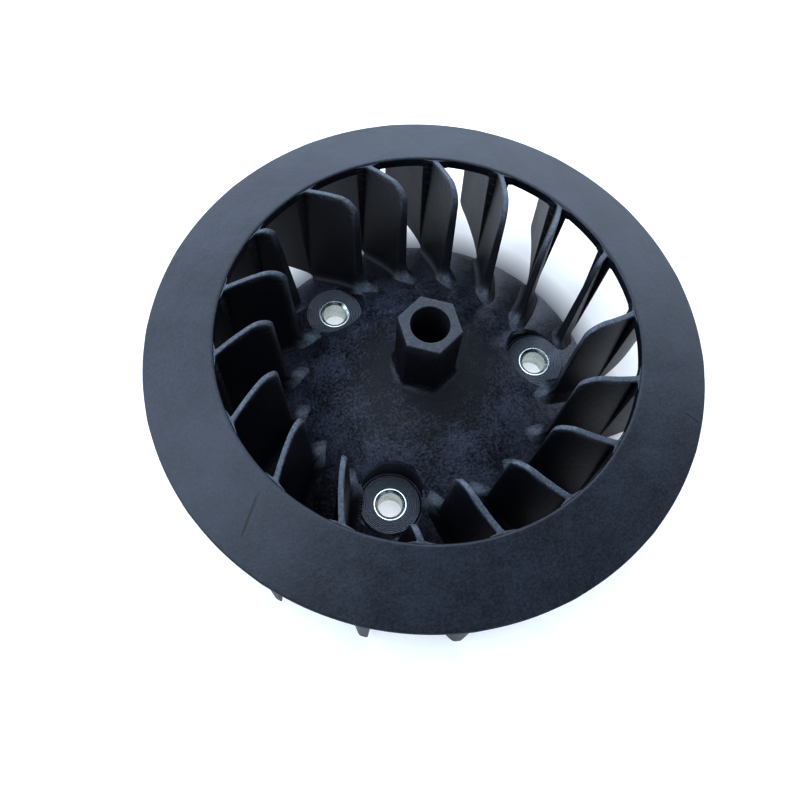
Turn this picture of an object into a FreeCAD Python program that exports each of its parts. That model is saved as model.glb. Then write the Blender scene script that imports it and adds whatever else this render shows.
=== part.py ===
import FreeCAD, Part
import math
import os

import Sketcher

# Engine cooling fan with a shrouded blade ring, a hexagonal drive nose and three bolt collars.
# The spin axis is Z, with the intake side up. The origin is on that axis, in the mounting plane
# that the backs of the collars and the disc's rim share. Collar 1 is on +X. All sizes are in mm.

BLADE_COUNT = 18
COLLAR_COUNT = 3
SHORT_BLADE_STEP = BLADE_COUNT // COLLAR_COUNT

SIZES = {
    # shroud ring, a cone with a short inward lip
    "ring_radius": 70.0,
    "eye_radius": 51.6,
    "ring_edge_height": 35.2,
    "eye_height": 43.7,
    "ring_wall": 2.1,
    "lip_depth": 3.3,
    "lip_wall": 1.6,
    "edge_round": 0.6,
    # conical hub disc
    "disc_radius": 51.0,
    "rim_height": 1.7,
    "cone_slope": 0.573,
    "disc_wall": 2.53,
    # hexagonal nose
    "hex_flats": 14.06,
    "hex_base": 30.0,
    "hex_top": 47.0,
    "hex_chamfer": 0.5,
    "chamfer_slope": 0.5,
    "foot_round": 2.4,
    "bore_radius": 4.75,
    # bolt bosses and their collars
    "bolt_circle": 34.2,
    "boss_radius": 8.1,
    "boss_top": 8.0,
    "boss_gap": 0.15,
    "moat_width": 0.8,
    "moat_depth": 0.8,
    "pocket_wall": 2.2,
    "boss_round": 0.4,
    "collar_radius": 4.5,
    "bolt_radius": 3.3,
    "collar_chamfer": 0.35,
    "collar_mouth": 0.75,
    # blades
    "blade_start": 11.15,
    "camber_centre_x": 21.0,
    "camber_centre_y": 55.9,
    "camber_radius": 63.5,
    "blade_foot": 2.7,
    "blade_tip_radius": 68.4,
    "blade_root_wall": 2.6,
    "inner_draft": 0.8,
    "outer_draft": 1.8,
    "crown_height": 49.0,
    "crown_radius": 37.7,
    "crown_round": 3.8,
    "foot_radius": 36.6,
    "toe_length": 5.0,
    "toe_height": 5.6,
    "toe_step": 0.6,
    "short_crown_height": 45.5,
    "short_crown_radius": 47.6,
    "short_crown_round": 2.0,
    "short_foot_radius": 43.9,
    "short_toe_length": 1.3,
    "short_toe_height": 2.4,
    # how far strips and cutting sections run past the material
    "overrun": 4.0,
}

doc = FreeCAD.newDocument("cooling_fan")
sheet = doc.addObject("Spreadsheet::Sheet", "Sizes")
for row, (alias, size) in enumerate(SIZES.items(), start=1):
    sheet.set(f"A{row}", alias)
    sheet.set(f"B{row}", str(size))
    sheet.setAlias(f"B{row}", alias)
doc.recompute()

# Heights of the cone's top and underside and of the ring's underside, as expressions of a radius.
CONE_TOP = "(Sizes.rim_height + Sizes.cone_slope * (Sizes.disc_radius - ({radius})))"
CONE_UNDER = "(" + CONE_TOP + " - Sizes.disc_wall)"
RING_SLOPE = "((Sizes.eye_height - Sizes.ring_edge_height) / (Sizes.ring_radius - Sizes.eye_radius))"
RING_FALL = RING_SLOPE + " * (Sizes.ring_radius - ({radius}))"
RING_UNDER = "(Sizes.ring_edge_height - Sizes.ring_wall + " + RING_FALL + ")"
LIP_BACK = "Sizes.eye_radius + Sizes.lip_wall"
LIP_FOOT = "Sizes.eye_height - Sizes.lip_depth"
HEX_CORNER = "Sizes.hex_flats / 2 / cos(30)"
UNDERSIDE_END = "(Sizes.disc_radius - (Sizes.disc_wall - Sizes.rim_height) / Sizes.cone_slope)"
POCKET_RADIUS = "(Sizes.boss_radius + Sizes.moat_width)"
POCKET_FLOOR = "(Sizes.boss_top - Sizes.moat_depth)"
CUP_RADIUS = "(Sizes.boss_radius + Sizes.pocket_wall)"
CUP_FLOOR = "(Sizes.boss_top - Sizes.pocket_wall)"


def at(height, radius):
    """The expression for a height at one radius."""
    return height.format(radius=radius)


def number(expression):
    """The value of an expression of the sheet's cells."""
    result = sheet.evalExpression(expression)
    return float(getattr(result, "Value", result))


def origin_plane(body, role):
    """The plane of a body's own origin that has this role."""
    return next(item for item in body.Origin.OriginFeatures if item.Role == role)


def new_body(label):
    """An empty body whose label names its file."""
    body = doc.addObject("PartDesign::Body", label)
    body.Label = label
    return body


def new_sketch(body, name, role, height="0"):
    """A sketch on one of the body's origin planes, raised by height."""
    sketch = body.newObject("Sketcher::SketchObject", f"{body.Label}_{name}")
    sketch.AttachmentSupport = [(origin_plane(body, role), "")]
    sketch.MapMode = "FlatFace"
    sketch.setExpression("AttachmentOffset.Base.z", height)
    return sketch


def bind(sketch, constraint, expression):
    """Add a dimension to a sketch and drive it from the sheet."""
    index = sketch.addConstraint(constraint)
    sketch.setExpression(f"Constraints[{index}]", expression)


def bind_point(sketch, geometry, end, across, along):
    """Hold one end of a piece of geometry at two expressions."""
    bind(sketch, Sketcher.Constraint("DistanceX", -1, 1, geometry, end, number(across)), across)
    bind(sketch, Sketcher.Constraint("DistanceY", -1, 1, geometry, end, number(along)), along)


def corner_round(before, corner, after, radius):
    """The arc of this radius that rounds a corner, from the side before it to the side after."""
    back = (before - corner).normalize()
    ahead = (after - corner).normalize()
    half = back.getAngle(ahead) / 2
    reach = radius / math.tan(half)
    first = corner + back * reach
    last = corner + ahead * reach
    middle = corner + (back + ahead).normalize() * (radius / math.sin(half) - radius)
    return Part.Arc(first, middle, last)


def draw_outline(sketch, corners):
    """A closed outline. Each corner is (across, along) or (across, along, rounding radius)."""
    places = [FreeCAD.Vector(number(corner[0]), number(corner[1]), 0) for corner in corners]
    count = len(corners)
    arcs = []
    for index, corner in enumerate(corners):
        neighbours = (places[index - 1], places[index], places[(index + 1) % count])
        arcs.append(corner_round(*neighbours, number(corner[2])) if len(corner) > 2 else None)
    sides = []
    for index in range(count):
        after = (index + 1) % count
        start = arcs[index].value(arcs[index].LastParameter) if arcs[index] else places[index]
        stop = arcs[after].value(arcs[after].FirstParameter) if arcs[after] else places[after]
        sides.append(sketch.addGeometry(Part.LineSegment(start, stop), False))
    for index, corner in enumerate(corners):
        before, after = sides[index - 1], sides[index]
        if arcs[index] is None:
            sketch.addConstraint(Sketcher.Constraint("Coincident", before, 2, after, 1))
            bind_point(sketch, after, 1, corner[0], corner[1])
        else:
            round_off(sketch, arcs[index], before, after, corner)


def round_off(sketch, arc, before, after, corner):
    """Join two sides by an arc, with a construction point where the sides would have met."""
    point = FreeCAD.Vector(number(corner[0]), number(corner[1]), 0)
    start = arc.value(arc.FirstParameter)
    bend = sketch.addGeometry(arc, False)
    first_end = 1 if sketch.getPoint(bend, 1).distanceToPoint(start) < 1e-6 else 2
    last_end = 3 - first_end
    sketch.addConstraint(Sketcher.Constraint("Tangent", before, 2, bend, first_end))
    sketch.addConstraint(Sketcher.Constraint("Tangent", bend, last_end, after, 1))
    meeting = sketch.addGeometry(Part.Point(point), True)
    bind_point(sketch, meeting, 1, corner[0], corner[1])
    sketch.addConstraint(Sketcher.Constraint("PointOnObject", meeting, 1, before))
    sketch.addConstraint(Sketcher.Constraint("PointOnObject", meeting, 1, after))
    bind(sketch, Sketcher.Constraint("Radius", bend, number(corner[2])), corner[2])


def draw_circle(sketch, across, radius):
    """A circle centred on the sketch's first axis."""
    centre = FreeCAD.Vector(number(across), 0, 0)
    circle = sketch.addGeometry(Part.Circle(centre, FreeCAD.Vector(0, 0, 1), number(radius)), False)
    bind_point(sketch, circle, 3, across, "0")
    bind(sketch, Sketcher.Constraint("Radius", circle, number(radius)), radius)


def draw_hexagon(sketch, corner_radius):
    """A hexagon about the origin with its flats facing the sketch's first axis."""
    corners = []
    for index in range(6):
        turn = 30 + 60 * index
        corners.append((f"{corner_radius} * cos({turn})", f"{corner_radius} * sin({turn})"))
    draw_outline(sketch, corners)


def add_feature(body, kind, name, sketch):
    """A PartDesign feature driven by a sketch."""
    feature = body.newObject(f"PartDesign::{kind}", f"{body.Label}_{name}")
    feature.Profile = sketch
    return feature


def turn_about_axis(body, kind, name, sketch):
    """A Revolution or Groove all round the spin axis."""
    feature = add_feature(body, kind, name, sketch)
    feature.ReferenceAxis = (sketch, ["V_Axis"])
    feature.Angle = 360
    return feature


def pad_up(body, name, sketch, length):
    """A Pad whose length is an expression."""
    feature = add_feature(body, "Pad", name, sketch)
    feature.setExpression("Length", length)
    return feature


def pocket_up(body, name, sketch, length):
    """A Pocket that cuts upward from its sketch."""
    feature = add_feature(body, "Pocket", name, sketch)
    feature.Reversed = True
    feature.setExpression("Length", length)
    return feature


def turn_body(body, angle):
    """Place a body by a turn about the spin axis, given as an expression in degrees."""
    body.Placement = FreeCAD.Placement(FreeCAD.Vector(), FreeCAD.Rotation(FreeCAD.Vector(0, 0, 1), 1))
    body.setExpression("Placement.Rotation.Angle", angle)


def make_shroud_ring():
    """The conical ring that caps the outer halves of the blades, with a lip round the eye."""
    body = new_body("shroud_ring")
    sketch = new_sketch(body, "section", "XZ_Plane")
    draw_outline(sketch, [
        ("Sizes.eye_radius", LIP_FOOT),
        (LIP_BACK, LIP_FOOT),
        (LIP_BACK, at(RING_UNDER, LIP_BACK)),
        ("Sizes.ring_radius", at(RING_UNDER, "Sizes.ring_radius"), "Sizes.edge_round"),
        ("Sizes.ring_radius", "Sizes.ring_edge_height", "Sizes.edge_round"),
        ("Sizes.eye_radius", "Sizes.eye_height", "Sizes.edge_round"),
    ])
    turn_about_axis(body, "Revolution", "cone", sketch)
    return body


def make_hub_disc():
    """The conical disc with the foot of the nose and a round opening for each boss."""
    body = new_body("hub_disc")
    section = new_sketch(body, "section", "XZ_Plane")
    draw_outline(section, [
        ("Sizes.bore_radius", at(CONE_UNDER, "Sizes.bore_radius")),
        (UNDERSIDE_END, "0"),
        ("Sizes.disc_radius", "0"),
        ("Sizes.disc_radius", "Sizes.rim_height"),
        ("Sizes.bore_radius", at(CONE_TOP, "Sizes.bore_radius")),
    ])
    turn_about_axis(body, "Revolution", "cone", section)
    foot_start = at(CONE_UNDER, "Sizes.bore_radius")
    foot = new_sketch(body, "nose_foot_outline", "XY_Plane", foot_start)
    draw_hexagon(foot, HEX_CORNER)
    draw_circle(foot, "0", "Sizes.bore_radius")
    pad_up(body, "nose_foot", foot, f"Sizes.hex_base - {foot_start}")
    opening_outline = new_sketch(body, "opening_outline", "XY_Plane")
    draw_circle(opening_outline, "Sizes.bolt_circle", CUP_RADIUS)
    opening = pocket_up(body, "opening", opening_outline, "Sizes.hex_base")
    openings = repeat_for_collars(body, "openings", [opening], section)
    doc.recompute()
    edges = enumerate(openings.Shape.Edges, start=1)
    foot_edges = [f"Edge{index}" for index, edge in edges if edge.Curve.TypeId == "Part::GeomHyperbola"]
    add_fillet(body, "foot_round", openings, foot_edges, "Sizes.foot_round")
    return body


def repeat_for_collars(body, name, features, section):
    """Repeat features at every collar."""
    pattern = body.newObject("PartDesign::PolarPattern", f"{body.Label}_{name}")
    pattern.Originals = features
    pattern.Axis = (section, ["V_Axis"])
    pattern.Angle = 360
    pattern.Occurrences = COLLAR_COUNT
    body.Tip = pattern
    return pattern


def make_boss(index):
    """One boss in its pocket, with the cup behind it. They fill an opening of the disc."""
    body = new_body(f"boss_{index + 1}")
    cup_outline = new_sketch(body, "cup_outline", "XY_Plane")
    draw_circle(cup_outline, "Sizes.bolt_circle", CUP_RADIUS)
    pad_up(body, "cup", cup_outline, "Sizes.hex_base")
    above = new_sketch(body, "above_cone_section", "XZ_Plane")
    draw_outline(above, [
        ("Sizes.bore_radius", at(CONE_TOP, "Sizes.bore_radius")),
        ("Sizes.disc_radius", "Sizes.rim_height"),
        ("Sizes.disc_radius", "Sizes.hex_base"),
        ("Sizes.bore_radius", "Sizes.hex_base"),
    ])
    turn_about_axis(body, "Groove", "above_cone", above)
    below = new_sketch(body, "below_cup_section", "XZ_Plane")
    draw_outline(below, [
        ("Sizes.bore_radius", "0"),
        (UNDERSIDE_END, "0"),
        (f"{UNDERSIDE_END} - {CUP_FLOOR} / Sizes.cone_slope", CUP_FLOOR),
        ("Sizes.bore_radius", CUP_FLOOR),
    ])
    turn_about_axis(body, "Groove", "below_cup", below)
    pocket_outline = new_sketch(body, "pocket_outline", "XY_Plane", POCKET_FLOOR)
    draw_circle(pocket_outline, "Sizes.bolt_circle", POCKET_RADIUS)
    pocket = pocket_up(body, "pocket", pocket_outline, f"Sizes.hex_base - {POCKET_FLOOR}")
    doc.recompute()
    brims = [f"Edge{place}" for place, edge in enumerate(pocket.Shape.Edges, start=1) if is_brim(edge)]
    add_fillet(body, "brim_round", pocket, brims, "Sizes.boss_round")
    boss_outline = new_sketch(body, "boss_outline", "XY_Plane", "Sizes.boss_gap")
    draw_circle(boss_outline, "Sizes.bolt_circle", "Sizes.boss_radius")
    pad_up(body, "boss", boss_outline, "Sizes.boss_top - Sizes.boss_gap")
    seat_outline = new_sketch(body, "seat_outline", "XY_Plane")
    draw_circle(seat_outline, "Sizes.bolt_circle", "Sizes.collar_radius")
    pocket_up(body, "collar_seat", seat_outline, "Sizes.hex_base")
    turn_body(body, f"{360 // COLLAR_COUNT * index}")
    return body


def is_brim(edge):
    """Whether an edge lies on the pocket's wall, above its floor."""
    middle = edge.valueAt((edge.FirstParameter + edge.LastParameter) / 2)
    gap = math.hypot(middle.x - number("Sizes.bolt_circle"), middle.y)
    on_wall = abs(gap - number(POCKET_RADIUS)) < 0.01
    return on_wall and middle.z > number(POCKET_FLOOR) + 0.01 and edge.Curve.TypeId != "Part::GeomLine"


def add_fillet(body, name, base, edges, radius):
    """Round these edges of a feature."""
    fillet = body.newObject("PartDesign::Fillet", f"{body.Label}_{name}")
    fillet.Base = (base, edges)
    fillet.setExpression("Radius", radius)
    body.Tip = fillet
    return fillet


def make_hex_nose():
    """The upper length of the hexagonal nose, bored through."""
    body = new_body("hex_nose")
    outline = new_sketch(body, "outline", "XY_Plane", "Sizes.hex_base")
    draw_hexagon(outline, HEX_CORNER)
    draw_circle(outline, "0", "Sizes.bore_radius")
    pad_up(body, "column", outline, "Sizes.hex_top - Sizes.hex_base")
    section = new_sketch(body, "chamfer_section", "XZ_Plane")
    start = "(Sizes.hex_flats / 2 - Sizes.hex_chamfer)"
    reach = f"({HEX_CORNER} + Sizes.overrun)"
    draw_outline(section, [
        (start, "Sizes.hex_top"),
        (reach, f"Sizes.hex_top - Sizes.chamfer_slope * ({reach} - {start})"),
        (reach, "Sizes.hex_top"),
    ])
    turn_about_axis(body, "Groove", "crown_chamfer", section)
    return body


def make_collar(index):
    """One steel collar, countersunk on top and chamfered below, with its axis on the bolt circle."""
    body = new_body(f"collar_{index + 1}")
    section = new_sketch(body, "section", "XZ_Plane")
    bevel = "Sizes.collar_chamfer"
    mouth = "Sizes.collar_mouth"
    draw_outline(section, [
        (f"Sizes.bolt_radius + {bevel}", "0"),
        ("Sizes.collar_radius", "0"),
        ("Sizes.collar_radius", "Sizes.boss_top"),
        (f"Sizes.bolt_radius + {mouth}", "Sizes.boss_top"),
        ("Sizes.bolt_radius", f"Sizes.boss_top - {mouth}"),
        ("Sizes.bolt_radius", bevel),
    ])
    turn_about_axis(body, "Revolution", "tube", section)
    turn = 360 * index // COLLAR_COUNT
    body.setExpression("Placement.Base.x", f"Sizes.bolt_circle * cos({turn})")
    body.setExpression("Placement.Base.y", f"Sizes.bolt_circle * sin({turn})")
    return body


def draw_blade_strip(sketch, wall, first_radius, last_radius):
    """A strip of the camber arc between two distances from the spin axis."""
    centre_x, centre_y = "Sizes.camber_centre_x", "Sizes.camber_centre_y"
    centre = FreeCAD.Vector(number(centre_x), number(centre_y), 0)
    radii = [f"(Sizes.camber_radius - {wall} / 2)", f"(Sizes.camber_radius + {wall} / 2)"]
    reach = f"sqrt({centre_x} ^ 2 + {centre_y} ^ 2)"
    turns = [camber_turn(first_radius, reach), camber_turn(last_radius, reach)]
    axis = FreeCAD.Vector(0, 0, 1)
    arcs = []
    for radius in radii:
        circle = Part.Circle(centre, axis, number(radius))
        arc = Part.ArcOfCircle(circle, *[math.radians(number(turn)) for turn in turns])
        arcs.append(sketch.addGeometry(arc, False))
    near, far = arcs
    bind_point(sketch, near, 3, centre_x, centre_y)
    sketch.addConstraint(Sketcher.Constraint("Coincident", near, 3, far, 3))
    for arc, radius in zip(arcs, radii):
        bind(sketch, Sketcher.Constraint("Radius", arc, number(radius)), radius)
    for end, turn in zip((1, 2), turns):
        points = [sketch.getPoint(arc, end) for arc in arcs]
        line = sketch.addGeometry(Part.LineSegment(*points), False)
        sketch.addConstraint(Sketcher.Constraint("Coincident", line, 1, near, end))
        sketch.addConstraint(Sketcher.Constraint("Coincident", line, 2, far, end))
        sketch.addConstraint(Sketcher.Constraint("PointOnObject", near, 3, line))
        across = f"{centre_x} + {radii[0]} * cos({turn})"
        bind(sketch, Sketcher.Constraint("DistanceX", -1, 1, near, end, number(across)), across)


def camber_turn(radius, reach):
    """The turn about the camber's centre, in degrees, of its point at one distance from the axis."""
    cosine = f"({reach} ^ 2 + Sizes.camber_radius ^ 2 - ({radius}) ^ 2) / (2 * {reach} * Sizes.camber_radius)"
    return f"(atan2(Sizes.camber_centre_y; Sizes.camber_centre_x) - 180 deg + acos({cosine}))"


def make_blade(index):
    """One blade: a thin inner wall and a thicker outer wall with opposite drafts, turned to fit."""
    body = new_body(f"blade_{index + 1:02d}")
    short = index % SHORT_BLADE_STEP == 0
    kind = "short_" if short else ""
    crown = f"Sizes.{kind}crown_radius"
    foot = f"Sizes.{kind}foot_radius"
    toe = f"({foot} - Sizes.{kind}toe_length)"
    outer = new_sketch(body, "outer_strip", "XY_Plane", "Sizes.blade_foot")
    draw_blade_strip(outer, "Sizes.blade_root_wall", "Sizes.eye_radius - Sizes.overrun",
                     "Sizes.ring_radius + Sizes.overrun")
    outer_pad = pad_up(body, "outer_wall", outer, "Sizes.eye_height - Sizes.blade_foot")
    outer_pad.setExpression("TaperAngle", "Sizes.outer_draft")
    step = new_sketch(body, "step_section", "XZ_Plane")
    draw_outline(step, [
        ("Sizes.bolt_circle", "0"),
        ("Sizes.eye_radius", "0"),
        ("Sizes.eye_radius", "Sizes.crown_height"),
        ("Sizes.bolt_circle", "Sizes.crown_height"),
    ])
    turn_about_axis(body, "Groove", "step", step)
    inner = new_sketch(body, "inner_strip", "XY_Plane", "Sizes.blade_foot")
    draw_blade_strip(inner, "Sizes.blade_root_wall", f"{toe} - Sizes.overrun", "Sizes.blade_tip_radius")
    inner_pad = pad_up(body, "inner_wall", inner, "Sizes.crown_height - Sizes.blade_foot")
    inner_pad.setExpression("TaperAngle", "-Sizes.inner_draft")
    trim = new_sketch(body, "trim_section", "XZ_Plane")
    waste_radius = "(Sizes.ring_radius + 2 * Sizes.overrun)"
    waste_top = "(Sizes.crown_height + Sizes.overrun)"
    draw_outline(trim, [
        ("Sizes.disc_radius + Sizes.rim_height / Sizes.cone_slope", "0"),
        ("Sizes.bore_radius", "0"),
        ("Sizes.bore_radius", waste_top),
        (waste_radius, waste_top),
        (waste_radius, "0"),
        ("Sizes.blade_tip_radius", "0"),
        ("Sizes.blade_tip_radius", at(RING_UNDER, "Sizes.blade_tip_radius")),
        (LIP_BACK, at(RING_UNDER, LIP_BACK)),
        (LIP_BACK, LIP_FOOT),
        ("Sizes.eye_radius", LIP_FOOT),
        ("Sizes.eye_radius", "Sizes.eye_height - Sizes.edge_round"),
        (crown, f"Sizes.{kind}crown_height", f"Sizes.{kind}crown_round"),
        (foot, at(CONE_TOP, foot) + f" + Sizes.{kind}toe_height"),
        (toe, at(CONE_TOP, toe) + " + Sizes.toe_step"),
        (toe, at(CONE_TOP, toe)),
    ])
    turn_about_axis(body, "Groove", "trim", trim)
    turn_body(body, f"Sizes.blade_start + {index} * {360 // BLADE_COUNT}")
    return body


def check_document():
    """Stop if any object has failed to compute."""
    failed = [item.Label for item in doc.Objects if {"Invalid", "Error"} & set(item.State)]
    if failed:
        raise RuntimeError(f"failed objects: {failed}")


def check_shape(body):
    """Stop unless a body holds one valid solid."""
    shape = body.Shape
    if shape.isNull() or not shape.isValid() or len(shape.Solids) != 1:
        raise RuntimeError(f"{body.Label} is not one valid solid")
    print(f"{body.Label}: {shape.Volume:.1f} mm3")


bodies = [make_shroud_ring(), make_hub_disc(), make_hex_nose()]
bodies += [make_boss(index) for index in range(COLLAR_COUNT)]
bodies += [make_collar(index) for index in range(COLLAR_COUNT)]
bodies += [make_blade(index) for index in range(BLADE_COUNT)]
doc.recompute()
check_document()
for body in bodies:
    check_shape(body)

os.makedirs("parts", exist_ok=True)
for body in bodies:
    body.Shape.exportStep(os.path.join("parts", f"{body.Label}.step"))
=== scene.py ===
import math

import bmesh
import bpy
import numpy as np
from mathutils import Matrix, Vector
from mathutils.geometry import delaunay_2d_cdt


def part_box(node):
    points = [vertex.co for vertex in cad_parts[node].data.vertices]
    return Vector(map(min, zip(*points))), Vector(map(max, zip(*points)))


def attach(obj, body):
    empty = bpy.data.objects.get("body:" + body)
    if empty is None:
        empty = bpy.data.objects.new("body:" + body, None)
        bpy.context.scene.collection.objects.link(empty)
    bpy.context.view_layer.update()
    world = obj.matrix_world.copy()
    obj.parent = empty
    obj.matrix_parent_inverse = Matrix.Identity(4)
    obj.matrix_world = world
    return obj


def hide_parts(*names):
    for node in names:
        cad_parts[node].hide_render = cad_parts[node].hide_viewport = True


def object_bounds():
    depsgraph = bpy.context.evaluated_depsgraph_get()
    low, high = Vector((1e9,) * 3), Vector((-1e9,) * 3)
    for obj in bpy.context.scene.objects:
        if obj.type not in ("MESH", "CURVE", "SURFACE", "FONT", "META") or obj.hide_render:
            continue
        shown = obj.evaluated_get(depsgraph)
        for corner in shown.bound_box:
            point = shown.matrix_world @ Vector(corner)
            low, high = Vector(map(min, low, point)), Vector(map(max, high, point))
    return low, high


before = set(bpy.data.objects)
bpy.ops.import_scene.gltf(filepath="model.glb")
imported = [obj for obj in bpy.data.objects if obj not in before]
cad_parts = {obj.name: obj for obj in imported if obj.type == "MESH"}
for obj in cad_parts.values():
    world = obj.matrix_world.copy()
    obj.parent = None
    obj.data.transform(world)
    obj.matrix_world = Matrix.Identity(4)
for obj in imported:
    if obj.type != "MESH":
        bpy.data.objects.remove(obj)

# A moulded cooling fan: a conical hub with a hexagonal nose and three steel collars, eighteen
# cambered blades and a conical shroud ring. Shapes are worked out in millimetres in the part's
# frame, with the spin axis on Z, and scaled to metres when a mesh is made.

MM = 0.001
cad_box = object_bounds()


def axis_distances(points):
    """Distance from the spin axis of each point."""
    return np.hypot(points[:, 0], points[:, 1])


def span(node):
    """Least and greatest distance from the spin axis, then least and greatest height, of a node."""
    points = np.array([v.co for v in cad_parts[node].data.vertices]) / MM
    away = axis_distances(points)
    return away.min(), away.max(), points[:, 2].min(), points[:, 2].max()


def middle(node):
    """The middle of a node's box in plan."""
    low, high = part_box(node)
    return np.array([low.x + high.x, low.y + high.y]) / 2 / MM


EYE_RADIUS, RING_RADIUS, RING_LOW, EYE_HEIGHT = span("shroud_ring")
_, DISC_RADIUS, _, _ = span("hub_disc")
BORE_RADIUS, _, _, HEX_TOP = span("hex_nose")
_, _, _, BOSS_TOP = span("collar_1")
COLLARS = [middle(f"collar_{index}") for index in (1, 2, 3)]
COLLAR_RADIUS = (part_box("collar_1")[1].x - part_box("collar_1")[0].x) / 2 / MM

# The ring: a conical wall with a short lip turned down round the eye.
RING_WALL = 2.1
RING_EDGE = RING_LOW + RING_WALL
RING_SLOPE = (EYE_HEIGHT - RING_EDGE) / (RING_RADIUS - EYE_RADIUS)
LIP_DEPTH = 3.3
LIP_WALL = 1.6
LIP_BACK = EYE_RADIUS + LIP_WALL
LIP_FOOT = EYE_HEIGHT - LIP_DEPTH

# The hub: a cone of even wall, with a boss in a moat round each collar and a cup under it.
RIM_HEIGHT = 1.7
CONE_SLOPE = 0.573
CONE_SECANT = math.hypot(1, CONE_SLOPE)
DISC_WALL = 2.53
HEX_FLAT = 7.03
FOOT_ROUND = 2.4
BOSS_RADIUS = 8.1
POCKET_RADIUS = 8.9
MOAT_DEPTH = 0.8
MOAT_FLOOR = BOSS_TOP - MOAT_DEPTH
BOSS_GAP = 0.15
CUP_WALL = 2.2
CUP_FLOOR = BOSS_TOP - CUP_WALL
BOLT_RADIUS = 3.3

# The blades: each follows one arc in plan, and is thinner inside the eye than under the ring.
BLADE_COUNT = 18
BLADE_PITCH = 360 / BLADE_COUNT
BLADE_START = 11.15
CAMBER_CENTRE = np.array([21.0, 55.9])
CAMBER_REACH = float(np.hypot(*CAMBER_CENTRE))
CAMBER_RADIUS = 63.5
BLADE_FOOT = 2.7
TIP_RADIUS = 68.4
HALF_WALL = 1.3
INNER_DRAFT = math.tan(math.radians(0.8))
OUTER_DRAFT = math.tan(math.radians(1.8))
SUNK = 0.3


def cone_top(radius):
    """Height of the hub's conical top."""
    return RIM_HEIGHT + CONE_SLOPE * (DISC_RADIUS - radius)


def cone_under(radius):
    """Height of the hub's conical underside."""
    return np.maximum(cone_top(radius) - DISC_WALL, 0.0)


def ring_top(radius):
    """Height of the shroud ring's top."""
    return RING_EDGE + RING_SLOPE * (RING_RADIUS - radius)


def ring_back(radius):
    """Height of the shroud ring's underside."""
    return ring_top(radius) - RING_WALL


def smooth(low, high, value):
    """An S-curve from 0 at low to 1 at high."""
    t = np.clip((value - low) / (high - low), 0, 1)
    return t * t * (3 - 2 * t)


# ---------------------------------------------------------------- mesh tools

SHARP_ANGLE = math.radians(38)
WELD_DISTANCE = 2e-6
LEAST_EDGE = 1e-7
WHOLE_HULL = 0
MERGE_DISTANCE = 1e-5


class Shell:
    """Points and faces gathered for one mesh, in millimetres."""

    def __init__(self):
        self.points = []
        self.faces = []
        self.wear_and_painted_highlight = []

    def add(self, points, faces, wear_and_painted_highlight=None):
        """Add a patch whose faces count from its own first point. The last argument says how pale
        each point is painted, by rubbing and by painted highlights; below zero it only makes the
        skin duller."""
        start = len(self.points)
        self.wear_and_painted_highlight += [0.0] * len(points) if wear_and_painted_highlight is None else [float(w) for w in wear_and_painted_highlight]
        self.points += [tuple(map(float, p)) for p in points]
        self.faces += [tuple(start + i for i in face) for face in faces]

    def strip(self, rows, wear_and_painted_highlight=None):
        """Quads between successive closed rows of equally many points. The last argument, how pale
        each row is painted by rubbing and painted highlights, has one number for each row."""
        count = len(rows[0])
        faces = []
        for start in range(0, (len(rows) - 1) * count, count):
            for i in range(count):
                k = (i + 1) % count
                faces.append((start + i, start + k, start + count + k, start + count + i))
        self.add(np.vstack(rows), faces, None if wear_and_painted_highlight is None else np.repeat(wear_and_painted_highlight, count))

    def make(self, name, material, nodes):
        """Make the finished piece. It rides on the one body and stands for the nodes."""
        mesh = bpy.data.meshes.new(name)
        mesh.from_pydata([Vector(p) * MM for p in self.points], [], self.faces)
        mesh.attributes.new("wear_and_painted_highlight", "FLOAT", "POINT").data.foreach_set("value", self.wear_and_painted_highlight)
        work = bmesh.new()
        work.from_mesh(mesh)
        bmesh.ops.remove_doubles(work, verts=work.verts, dist=WELD_DISTANCE)
        bmesh.ops.dissolve_degenerate(work, edges=work.edges, dist=LEAST_EDGE)
        bmesh.ops.recalc_face_normals(work, faces=work.faces)
        for face in work.faces:
            face.smooth = True
        work.to_mesh(mesh)
        work.free()
        mesh.set_sharp_from_angle(angle=SHARP_ANGLE)
        mesh.materials.append(material)
        piece = bpy.data.objects.new(name, mesh)
        bpy.context.scene.collection.objects.link(piece)
        normals = piece.modifiers.new("normals", "WEIGHTED_NORMAL")
        normals.mode = "FACE_AREA_WITH_ANGLE"
        normals.keep_sharp = True
        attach(piece, "root")
        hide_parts(*nodes)


def rounded(corners, steps=5, longest=None):
    """Points round a closed outline of (across, along, rounding radius) corners, with arcs at the
    corners and sides cut to the longest length."""
    places = np.array([corner[:2] for corner in corners], float)
    outline = []
    for before, here, after, corner in zip(
        np.roll(places, 1, axis=0), places, np.roll(places, -1, axis=0), corners
    ):
        radius = corner[2]
        back = (before - here) / np.linalg.norm(before - here)
        ahead = (after - here) / np.linalg.norm(after - here)
        if radius == 0:
            outline.append(here)
            continue
        half = math.acos(np.clip(back @ ahead, -1, 1)) / 2
        bisector = (back + ahead) / np.linalg.norm(back + ahead)
        centre = here + bisector * radius / math.sin(half)
        first = here + back * radius / math.tan(half) - centre
        last = here + ahead * radius / math.tan(half) - centre
        sweep = math.pi - 2 * half
        for k in range(steps + 1):
            t = k / steps
            arm = (math.sin((1 - t) * sweep) * first + math.sin(t * sweep) * last) / math.sin(sweep)
            outline.append(centre + arm)
    if longest is None:
        return np.array(outline)
    finer = []
    for here, after in zip(outline, outline[1:] + outline[:1]):
        cuts = max(1, math.ceil(np.linalg.norm(after - here) / longest))
        finer += [here + (after - here) * k / cuts for k in range(cuts)]
    return np.array(finer)


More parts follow.
